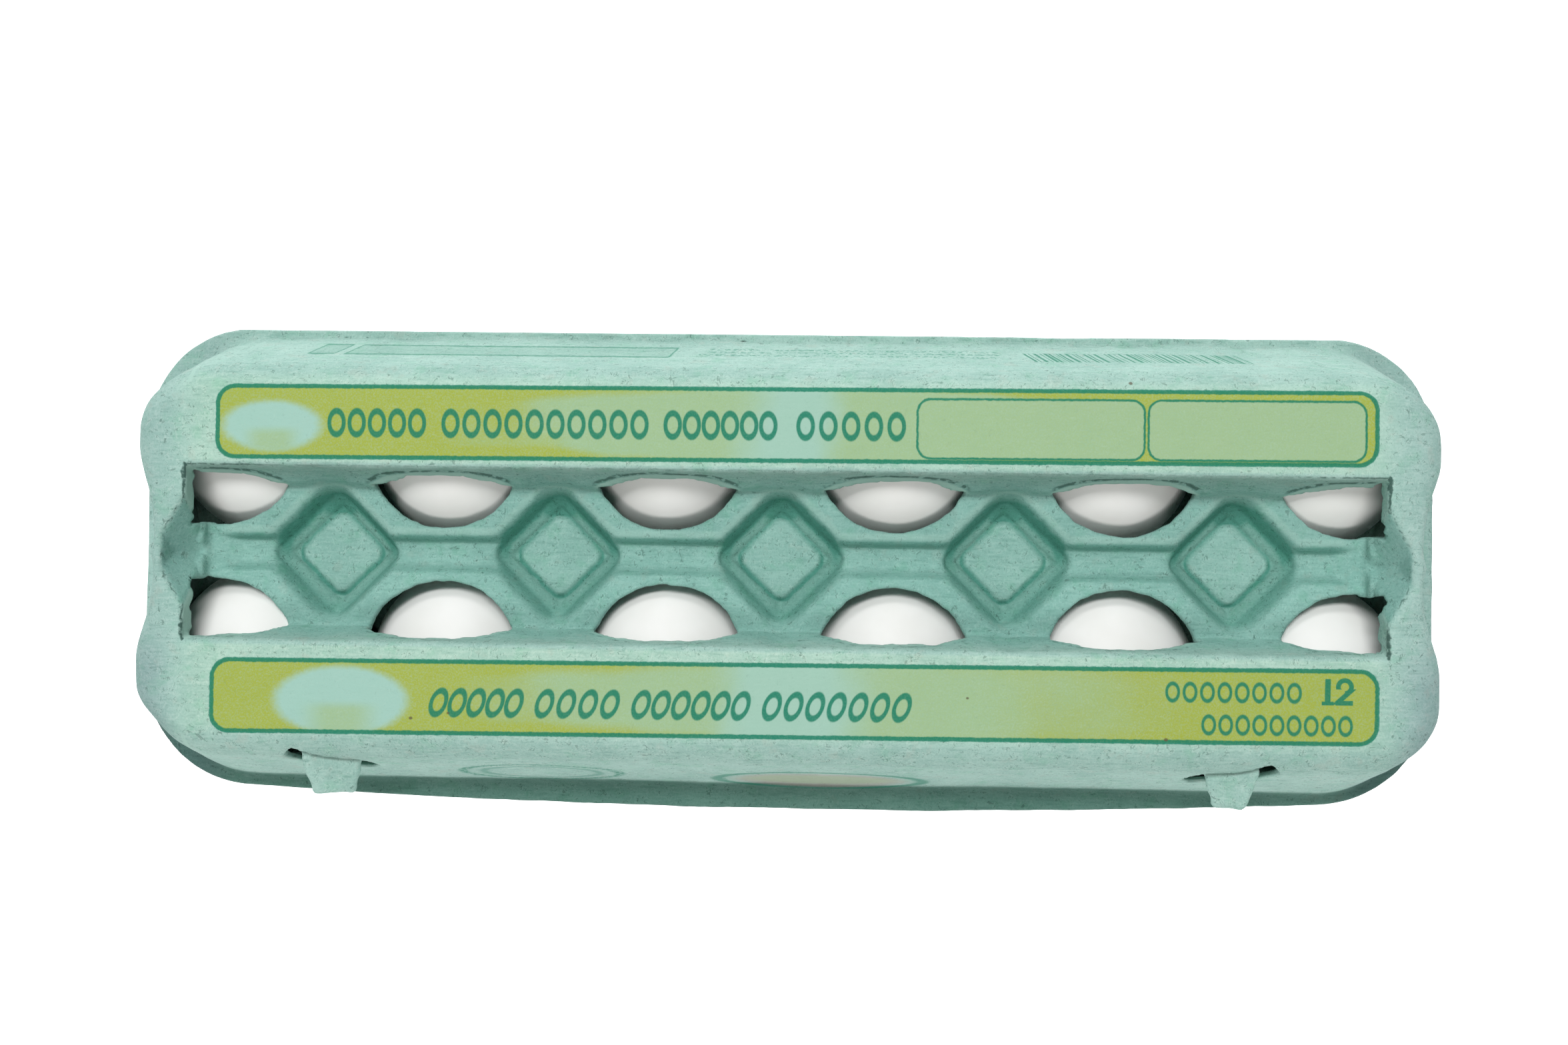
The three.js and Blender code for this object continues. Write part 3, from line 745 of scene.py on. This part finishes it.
slots = {
    "x": 98.1, "half": 9.0, "middle": 57.9, "height": 9.0, "open": 3.7, "lean": 0.36, "inside": -36.0,
    # the wall swells over each slot and sinks under it
    "hood": {"height": 0.3, "half": 6.4, "middle": 2.4, "reach": 1.8},
    "dent": {"height": 0.7, "half": 6.2, "middle": -3.0, "reach": 2.4},
}

# the fold along the back flange
crease = {"y": 50.9, "depth": 0.55, "width": 0.55, "half": 122.0, "above": 37.6}


def nearest(x, places):
    # distance along x from the nearest of some places
    gap = x[..., None] - places
    return np.take_along_axis(gap, np.abs(gap).argmin(axis=-1)[..., None], axis=-1)[..., 0]


def waistShape(y):
    reach = np.minimum(1.0, np.abs(y) / lid["waistReach"])
    hollow = 0.5 + 0.5 * np.cos(math.pi * reach ** 1.6)
    bump = np.maximum(0.0, 1.0 - np.abs(y) / lid["bumpHalf"]) ** 2 * lid["waistBump"] / lid["waistDepth"]
    return hollow - bump


def planDistance(x, y, plan, inset, waist=0.0, bow=0.0):
    # distance outside a rounded outline that is drawn in by the given insets
    isBack = y > 0
    corner = np.where(isBack, plan["backCorner"], plan["frontCorner"])
    endRadius = corner - inset["end"]
    sideRadius = corner - np.where(isBack, inset["back"], inset["front"])
    dx = np.abs(x) + waist * waistShape(y) - (plan["halfLength"] - corner)
    dy = np.abs(y) + bow - (np.where(isBack, plan["back"], plan["front"]) - corner)
    px, py = np.maximum(dx, 0.0) / endRadius, np.maximum(dy, 0.0) / sideRadius
    size = np.hypot(px, py)
    slope = np.hypot(px / endRadius, py / sideRadius)
    rounded = np.where(size > 1e-6, (size - 1.0) * size / np.maximum(slope, 1e-6), -20.0)
    return np.where((dx > 0) & (dy > 0), rounded, np.maximum(dx - endRadius, dy - sideRadius))


def flangeDistance(x, y):
    reach = np.minimum(1.0, np.abs(x) / flange["bowReach"])
    bow = np.where(y < 0, flange["bow"] * reach ** flange["bowPower"], 0.0)
    return planDistance(x, y, flange, noInset, bow=bow)


def wallDistance(x, y, z):
    # outside the lid's sloping wall
    rise = np.maximum(z - lid["flangeTop"], 0.0)
    inset = {side: rise * slope for side, slope in lid["draft"].items()}
    fade = np.maximum(0.0, z - lid["waistFadeZ"]) / lid["waistFadeOver"]
    waist = lid["waistDepth"] * (1.0 - 0.25 * fade)
    drawnIn = lid["leftShort"] * ((-x - lid["shortFrom"]) / lid["shortOver"]).clip(0.0, 1.0)
    u, v = ((a - middle) / size for a, middle, size in zip((x, y), lid["dentPlace"], lid["dentSize"]))
    drawnIn = drawnIn + lid["leftDent"] * np.exp(-u ** 2 - v ** 2)
    return planDistance(x, y, wallPlan, inset, waist) * 0.95 + drawnIn


def diamondSide(x, y, core):
    # half side of the rounded, turned square through a point
    p, q = np.abs(x + y) / math.sqrt(2.0), np.abs(x - y) / math.sqrt(2.0)
    outside = np.hypot(np.maximum(p - core, 0.0), np.maximum(q - core, 0.0))
    return outside + np.minimum(np.maximum(p, q) - core, 0.0) + core


def valleyVoid(x, y, z):
    # negative in the space above the valley's floor; the factor after a slope makes its
    # distance about true
    across, along = np.abs(y), np.abs(x)
    forward = np.where(y > 0, window["backCurl"], window["frontCurl"])
    curl = forward * ((valley["curlTop"] - z) / valley["curlOver"]).clip(0.0, 1.0) ** 1.4
    side = (across - valley["halfWidth"] + (lid["top"] - z) * valley["wallSlope"] + curl) * 0.975
    slab = np.maximum(valley["collar"] - z, np.maximum(side, along - valley["halfLength"]))
    rise = z - valley["channel"]
    channel = (across - valley["channelHalf"] - rise * valley["channelSlope"]) * 0.88
    channelEnd = (along - valley["channelEnd"] - rise * valley["endSlope"]) * 0.41
    channel = np.maximum(np.maximum(-rise, channel), channelEnd)
    channel = np.maximum(channel, along - valley["channelStop"])
    square = diamondSide(nearest(x, basinsX), y, valley["basinCore"])
    basin = (square - np.interp(z, basinLevels, basinSides)) * 0.8
    basin = blendMax(blendMax(basin, valley["grooveFloor"] - z, 1.0), side - 0.3, 1.0)
    void = blendMin(slab, blendMin(channel, basin, 1.2), 1.4)
    spread = across + trough["foldSlope"] * (along - trough["foldX"]) - trough["foldHalf"]
    facet = (trough["foldFloor"] + trough["foldRise"] * np.maximum(spread, -4.0) - z) / 2.1
    tip = (along - trough["tip"] - (z - trough["floor"]) * trough["tipSlope"]) * 0.98
    ends = np.maximum(tip, trough["start"] - along)
    hollow = np.maximum(np.maximum(facet, trough["floor"] - z), ends)
    crest = ridge["height"] * np.exp(-((along - ridge["x"]) / ridge["width"]) ** 2)
    crest = crest * (across < ridge["half"]) * (z < ridge["top"])
    return blendMin(void, hollow, 0.8) + crest


def swell(along, rise, form):
    bulge = np.exp(-(along / form["half"]) ** 4)
    return form["height"] * bulge * np.exp(-((rise - form["middle"]) / form["reach"]) ** 2)


def lidEnvelope(x, y, z):
    # negative under the lid's outer surface
    wall = wallDistance(x, y, z)
    fromSlot = np.abs(x) - slots["x"]
    rise = z - slots["middle"] - slots["lean"] * fromSlot
    inFront = np.where(y < -30.0, 1.0, 0.0)
    wall = wall + (swell(fromSlot, rise, slots["dent"]) - swell(fromSlot, rise, slots["hood"])) * inFront
    sharper = (lid["shoulder"] - lid["waistShoulder"]) * waistShape(y).clip(0.0, 1.0) * (np.abs(x) > 125.0)
    body = roundMax(wall, z - lid["top"] + 0 * wall, lid["shoulder"] - sharper)
    edge = flangeDistance(x, y) + 0 * z
    plate = roundMax(edge, z - lid["flangeTop"] + 0 * edge, 0.8)
    fold = crease["y"] + rolls(x, 0 * y, 0.0, ((0.5, 9.0, 3), (0.3, 2.6, 4)))
    groove = crease["depth"] * np.exp(-((y - fold) / crease["width"]) ** 2) * (np.abs(x) < crease["half"])
    return blendMin(body, plate, 2.4) + groove * (z > crease["above"])


def windowCut(x, y, z):
    fromColumn = nearest(x, columnsX)
    across = np.abs(y)
    centre = window["apex"] + window["depth"]
    u, v = fromColumn / window["halfWidth"], np.minimum(across - centre, 0.0) / window["depth"]
    size = np.hypot(u, v)
    slope = np.hypot(u / window["halfWidth"], v / window["depth"])
    inner = (size - 1.0) * size / np.maximum(slope, 1e-4)
    fray = lumps(x, y, 0.0, 1.5, 11)
    inner = inner + fray * np.where(np.abs(x) > 126.5, 0.8, 0.16) + 0.15 * lumps(x, y, 0.0, 6.0, 12)
    arch = (np.abs(fromColumn) / window["archReach"]) ** window["archPower"]
    frontLip = window["frontLip"] - window["frontArch"] * arch
    frontLip = frontLip + rolls(x, 0 * y, 0.0, ((0.6, 2.2, 13), (0.6, 7.0, 14)))
    backLip = window["backLip"] - window["backArch"] * arch + 0.4 * lumps(x, 0 * y, 0.0, 3.0, 15)
    lip = np.where(y > 0, backLip, frontLip)
    lip = np.where(np.abs(x) > window["endFrom"], window["endLip"] + 1.4 * fray, lip)
    cut = np.maximum(np.maximum(inner, z - lip), across - window["outer"])
    return np.maximum(cut, np.abs(x) - window["endX"])


def slotCut(x, y, z):
    # two slots that narrow towards their ends and widen downwards through the wall
    along = np.abs(x) - slots["x"]
    inset = np.abs(along)
    height = np.minimum(slots["height"] * (1.0 - inset / slots["half"]).clip(0.0, 1.0) ** 0.7, slots["open"])
    middle = slots["middle"] + slots["lean"] * along
    depth = (-wallDistance(x, y, z)).clip(0.0, 2.4)
    upper = z - middle - height
    lower = middle - height - depth * 2.2 - z
    cut = np.maximum(np.maximum(upper * 0.8, lower * 0.4), (inset - slots["half"]) * 0.8)
    return np.maximum(cut, y - slots["inside"])


def lidDistance(x, y, z):
    envelope = blendMax(lidEnvelope(x, y, z), -valleyVoid(x, y, z), 1.3)
    pad = diamondSide(nearest(x, basinsX), y, valley["padCore"]) - valley["padSide"]
    pad = (pad - (valley["padTop"] - z) * valley["padSlope"]) * 0.9
    pad = blendMax(pad, z - valley["padTop"] + 0 * pad, 0.9)
    envelope = blendMin(envelope, pad, 0.8)
    shell = np.maximum(envelope, -envelope - lid["skin"])
    shell = np.maximum(shell, lid["base"] - z)
    return blendMax(shell, -np.minimum(windowCut(x, y, z), slotCut(x, y, z)), 0.7)


def unevenLid(x, y, z):
    uneven = rolls(x, y, z, ((0.16, 17.0, 21), (0.1, 5.5, 22), (0.05, 1.7, 23)))
    return lidDistance(x, y, z) + uneven * (z > lid["base"] + 0.6)


def makeLid(material):
    edge = flange["halfLength"] + 1.2
    axes = (gridLine((-edge, edge, 0.72)),
            gridLine((-59.7, -50.0, 0.75), (-50.0, -40.0, 0.62), (-40.0, -20.0, 1.0), (-20.0, 20.0, 0.6),
                     (20.0, 40.0, 1.0), (40.0, 53.7, 0.75)),
            gridLine((35.4, 40.0, 0.62), (40.0, 46.0, 1.0), (46.0, 67.0, 0.62)))
    points, faces = surfaceFrom(lidDistance, axes)
    points = settle(points, unevenLid)
    piece = meshObject("lidShell", points, faces, material)
    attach(piece, "lid_body")
    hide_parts("lid")
    print("lid", len(points), "points", len(faces), "faces")


tray = {
    "skin": 2.0, "top": 36.0, "rowY": 24.4, "blend": 8.0,
    "ridge": 31.0, "webHalfLength": 141.5, "webHalfWidth": 41.4, "webCorner": 20.0,
    # the hollow posts between four cups stand above the tray's top
    "postLow": 10.0, "postTop": 4.0, "postBase": 28.0, "postHeight": 42.0,
    "postsHalfX": 112.0, "postsHalfY": 14.0,
}
cupsX = (-121.5, -74.6, -25.0, 25.0, 74.6, 121.5)
cupLevels = np.array([0.0, 1.6, 6.6, 14.5, 25.0, 36.0, 60.0])
cupRadii = np.array([10.2, 12.8, 17.0, 21.2, 23.8, 24.9, 25.4])


def trayEnvelope(x, y, z):
    # negative above the tray's lower surface
    across = np.abs(y)
    reach = 1000.0
    for cupX in cupsX:
        for row in (tray["rowY"], -tray["rowY"]):
            reach = blendMin(reach, np.hypot(x - cupX, across - row), tray["blend"])
    fine = np.arange(0.0, 60.1, 0.5)
    radius = np.interp(fine, cupLevels, cupRadii)
    lean = 1.0 / np.sqrt(1.0 + np.gradient(radius, 0.5) ** 2)
    cup = (reach - np.interp(z, fine, radius)) * np.interp(z, fine, lean)
    cup = roundMax(cup, -z + 0 * cup, 1.0)
    corner = tray["webCorner"]
    dx = np.maximum(np.abs(x) - tray["webHalfLength"] + corner, 0.0)
    dy = np.maximum(across - tray["webHalfWidth"] + corner, 0.0)
    web = np.hypot(dx, dy) - corner
    web = np.maximum(web, tray["ridge"] - tray["skin"] - z)
    rim = np.maximum(flangeDistance(x, y), tray["top"] - tray["skin"] - z)
    under = blendMin(blendMin(cup, web, 3.5), rim, 2.6)
    fromPost = np.hypot(nearest(x, basinsX), y)
    slope = (tray["postLow"] - tray["postTop"]) / (tray["postHeight"] - tray["postBase"])
    post = (fromPost - tray["postLow"] + (z - tray["postBase"]) * slope) * 0.92
    post = blendMax(post, z - tray["postHeight"] + 0 * post, 2.0)
    return blendMax(under, -post, 3.0)


def trayDistance(x, y, z):
    envelope = trayEnvelope(x, y, z)
    sheet = np.maximum(envelope, -envelope - tray["skin"])
    amid = (np.abs(y) < tray["postsHalfY"]) & (np.abs(x) < tray["postsHalfX"])
    return np.maximum(sheet, np.where(amid, -5.0, z - tray["top"]))


def unevenTray(x, y, z):
    uneven = rolls(x, y, z, ((0.14, 15.0, 31), (0.1, 5.0, 32)))
    return trayDistance(x, y, z) + uneven * ((z > 1.5) & (z < tray["top"] - 0.4))


def makeTray(material):
    edge = flange["halfLength"] + 1.4
    axes = (gridLine((-edge, edge, 1.05)), gridLine((-60.1, 54.1, 1.05)),
            gridLine((-1.0, 30.0, 1.05), (30.0, 36.6, 0.7), (36.6, 45.2, 1.05)))
    points, faces = surfaceFrom(trayDistance, axes)
    points = settle(points, unevenTray)
    piece = meshObject("trayShell", points, faces, material)
    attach(piece, "tray_body")
    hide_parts("tray")
    print("tray", len(points), "points", len(faces), "faces")


flap = {
    "halfLength": 116.0, "bandTop": 45.0, "clear": 0.7, "thick": 1.6, "earHalf": 6.3,
    "tongueZ": 59.4, "lean": 0.3, "droop": 0.2, "droopFrom": -46.0, "inside": -42.0,
    # for the left and the right tongue
    "tongueX": (97.0, 97.4), "rootHalf": (6.2, 5.4), "tipHalf": (4.25, 3.4),
    "rootY": -44.5, "narrowOver": 7.5, "tip": -52.3,
}


def flapDistance(x, y, z):
    # a sheet inside the lid's front wall, with a tongue through each slot
    wall = wallDistance(x, y, z)
    behind = lid["skin"] + flap["clear"] + flap["thick"] / 2
    sheet = np.abs(wall + behind) - flap["thick"] / 2
    sheet = np.maximum(np.maximum(sheet, lid["base"] - 0.2 - z), y + 30.0)
    tongueX, rootHalf, tipHalf = (np.where(x < 0, *flap[key]) for key in ("tongueX", "rootHalf", "tipHalf"))
    outward = np.abs(x) - tongueX
    band = np.maximum(z - flap["bandTop"], np.abs(x) - flap["halfLength"])
    droop = flap["droop"] * np.minimum(y - flap["droopFrom"], 0.0)
    middle = flap["tongueZ"] + flap["lean"] * outward + droop
    ear = np.maximum(z - middle - 0.4, np.abs(outward) - flap["earHalf"])
    sheet = np.maximum(sheet, blendMin(band, ear, 2.0))
    share = ((flap["rootY"] - y) / flap["narrowOver"]).clip(0.0, 1.0)
    edge = np.abs(outward) - (rootHalf + (tipHalf - rootHalf) * share)
    edge = edge + 0.3 * lumps(x, y, 0.0, 2.0, 41)
    length = np.maximum(flap["tip"] + 0.5 * lumps(x, 0 * y, 0.0, 2.5, 42) - y, y - flap["inside"])
    plate = roundMax(roundMax(edge, length, 1.0) + 0 * z, np.abs(z - middle) - 0.8, 0.7)
    return blendMin(sheet, plate, 1.6)


def unevenFlap(x, y, z):
    return flapDistance(x, y, z) + 0.14 * lumps(x, y, z, 2.6, 43) * (z > 40.0)


def makeFlap(material):
    axes = (gridLine((-118.0, -106.0, 1.0), (-106.0, -90.0, 0.45), (-90.0, 90.0, 1.5),
                     (90.0, 106.0, 0.45), (106.0, 118.0, 1.0)),
            gridLine((-54.0, -38.0, 0.42)), gridLine((35.5, 55.0, 0.7), (55.0, 64.0, 0.42)))
    points, faces = surfaceFrom(flapDistance, axes)
    points = settle(points, unevenFlap, 0.25)
    piece = meshObject("lockFlap", points, faces, material)
    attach(piece, "tray_body")
    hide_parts("lock_flap")
    print("flap", len(points), "points", len(faces), "faces")


eggs = {
    "floor": 2.6, "taper": 0.13, "rings": 40, "around": 64,
    # radius, half length, shift along x and y, lean in degrees
    "back": ((21.3, 28.4, 0.6, 0.1, 3.2), (21.4, 28.8, 0.4, -0.2, 1.0), (21.2, 28.2, -0.3, 0.2, -1.2),
             (21.5, 28.9, 0.4, 0.1, 1.4), (21.3, 28.3, -0.7, -0.1, -2.0), (21.4, 28.7, -0.3, 0.2, -0.6)),
    "front": ((21.3, 28.6, 0.7, 0.2, 3.4), (21.4, 28.3, 0.4, 0.1, 1.6), (21.5, 28.9, -0.3, -0.1, -0.9),
              (21.3, 28.4, 0.4, 0.2, 1.3), (21.4, 28.7, -0.5, -0.2, -1.9), (21.2, 28.2, -0.4, 0.1, -1.1)),
}


def makeShell():
    material, place, shader = newMaterial("eggshell")
    pores = noise(place, 0.55, 2.0)
    tone = noise(place, 11.0, 3.0)
    setColour(shader, between(shade(247, 246, 243), shade(252, 251, 249), tone.ramp(0.3, 0.7)))
    setSurface(shader, pores, {"strength": 0.12, "distance": 0.0001, "roughness": 0.5, "specular": 0.4})
    return material


def makeEgg(row, column, material):
    radius, halfLength, dx, dy, lean = eggs[row][column]
    side = 1 if row == "back" else -1
    u = -np.cos(np.linspace(0.0, math.pi, eggs["rings"] + 1))[1:-1]
    width = np.sqrt(1 - u * u) * (1 + eggs["taper"] * u)
    width = radius * width / width.max()
    angle = np.arange(eggs["around"]) * 2 * math.pi / eggs["around"]
    ring = np.stack([width[:, None] * np.cos(angle), width[:, None] * np.sin(angle),
                     np.repeat((halfLength * u)[:, None], len(angle), axis=1)], axis=2).reshape(-1, 3)
    points = np.vstack([ring, [[0, 0, -halfLength], [0, 0, halfLength]]])
    turn = math.radians(lean)
    spin = np.array([[math.cos(turn), 0, math.sin(turn)], [0, 1, 0], [-math.sin(turn), 0, math.cos(turn)]])
    centre = np.array([cupsX[column] + dx, side * tray["rowY"] + dy, eggs["floor"] + halfLength])
    points = points @ spin.T + centre
    n, count = eggs["around"], len(u)
    i = np.arange(n)
    j = (i + 1) % n
    quads = [k * n + np.stack([i, j, n + j, n + i], axis=1) for k in range(count - 1)]
    bottom, top = count * n, count * n + 1
    caps = [np.stack([j, i, np.full(n, bottom)], axis=1),
            np.stack([(count - 1) * n + i, (count - 1) * n + j, np.full(n, top)], axis=1)]
    mesh = bpy.data.meshes.new(f"egg{row.title()}{column + 1}")
    faces = [tuple(face) for part in quads + caps for face in part.tolist()]
    mesh.from_pydata([tuple(point) for point in toRow(points).tolist()], [], faces)
    piece = addPiece(mesh, material)
    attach(piece, "tray_body")
    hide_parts(f"egg_{row}_{column + 1}")


# place in mm, turn in degrees, focal length and picture width in pixels
view = {"place": (7.7, 4.05, 334.4), "turn": (-0.83, -1.43, -0.77), "focal": 1900.0, "width": 2352.0}


def makeCamera():
    a, b, c = (math.radians(v) for v in view["turn"])
    aboutX = Matrix(((1, 0, 0), (0, math.cos(a), -math.sin(a)), (0, math.sin(a), math.cos(a))))
    aboutY = Matrix(((math.cos(b), 0, math.sin(b)), (0, 1, 0), (-math.sin(b), 0, math.cos(b))))
    aboutZ = Matrix(((math.cos(c), -math.sin(c), 0), (math.sin(c), math.cos(c), 0), (0, 0, 1)))
    camera = bpy.data.cameras.new("overheadCamera")
    camera.sensor_width = 36.0
    camera.lens = view["focal"] / view["width"] * camera.sensor_width
    camera.clip_start = 0.01
    holder = bpy.data.objects.new("overheadCamera", camera)
    turned = (aboutZ @ aboutY @ aboutX).transposed().to_4x4()
    holder.matrix_world = Matrix.Translation(toRow(np.array(view["place"]))) @ turned
    bpy.context.scene.collection.objects.link(holder)
    bpy.context.scene.camera = holder


studio = {
    "table": 1.8, "world": 0.12, "aim": (0, 0, 0.05),
    # each lamp: place and size in metres, power in watts, tint
    "lamps": {
        "backSoftbox": ((-0.09, 0.5, 1.14), (0.9, 0.24), 10.1, (1.0, 1.0, 1.0)),
        "backLow": ((-0.2, 1.0, 0.72), (0.9, 0.3), 3.2, (1.0, 1.0, 1.0)),
        "frontFill": ((0.0, -0.74, 1.0), (0.9, 0.3), 5.4, (1.0, 0.97, 0.95)),
    },
}


def makeLamp(name, place, size, power, tint):
    lamp = bpy.data.lights.new(name, "AREA")
    lamp.shape = "RECTANGLE"
    lamp.size, lamp.size_y = size
    lamp.energy = power
    lamp.color = tint
    holder = bpy.data.objects.new(name, lamp)
    turn = (Vector(studio["aim"]) - Vector(place)).to_track_quat("-Z", "Y")
    holder.matrix_world = Matrix.Translation(place) @ turn.to_matrix().to_4x4()
    bpy.context.scene.collection.objects.link(holder)


def makeStudio():
    mesh = bpy.data.meshes.new("lightTable")
    mesh.from_pydata([(-3, -3, 0), (3, -3, 0), (3, 3, 0), (-3, 3, 0)], [], [(0, 1, 2, 3)])
    material, _, shader = newMaterial("whiteTable")
    shader.inputs["Base Color"].default_value = (0, 0, 0, 1)
    shader.inputs["Specular IOR Level"].default_value = 0.0
    shader.inputs["Emission Color"].default_value = (1, 1, 1, 1)
    shader.inputs["Emission Strength"].default_value = studio["table"]
    mesh.materials.append(material)
    table = bpy.data.objects.new("lightTable", mesh)
    bpy.context.scene.collection.objects.link(table)
    world = bpy.data.worlds.new("studioWorld")
    bpy.context.scene.world = world
    world.use_nodes = True
    background = world.node_tree.nodes["Background"]
    background.inputs["Color"].default_value = (1, 1, 1, 1)
    background.inputs["Strength"].default_value = studio["world"]
    for name, lamp in studio["lamps"].items():
        makeLamp(name, *lamp)
    settings = bpy.context.scene.view_settings
    settings.view_transform = "Standard"
    settings.exposure = 0.0


printedPulp = makePrintedPulp()
plainPulp = makePulp()
eggshell = makeShell()
print("materials made")
makeLid(printedPulp)
for row in ("back", "front"):
    for column in range(6):
        makeEgg(row, column, eggshell)
print("eggs made")
makeTray(plainPulp)
makeFlap(plainPulp)
makeCamera()
makeStudio()
print("studio made")
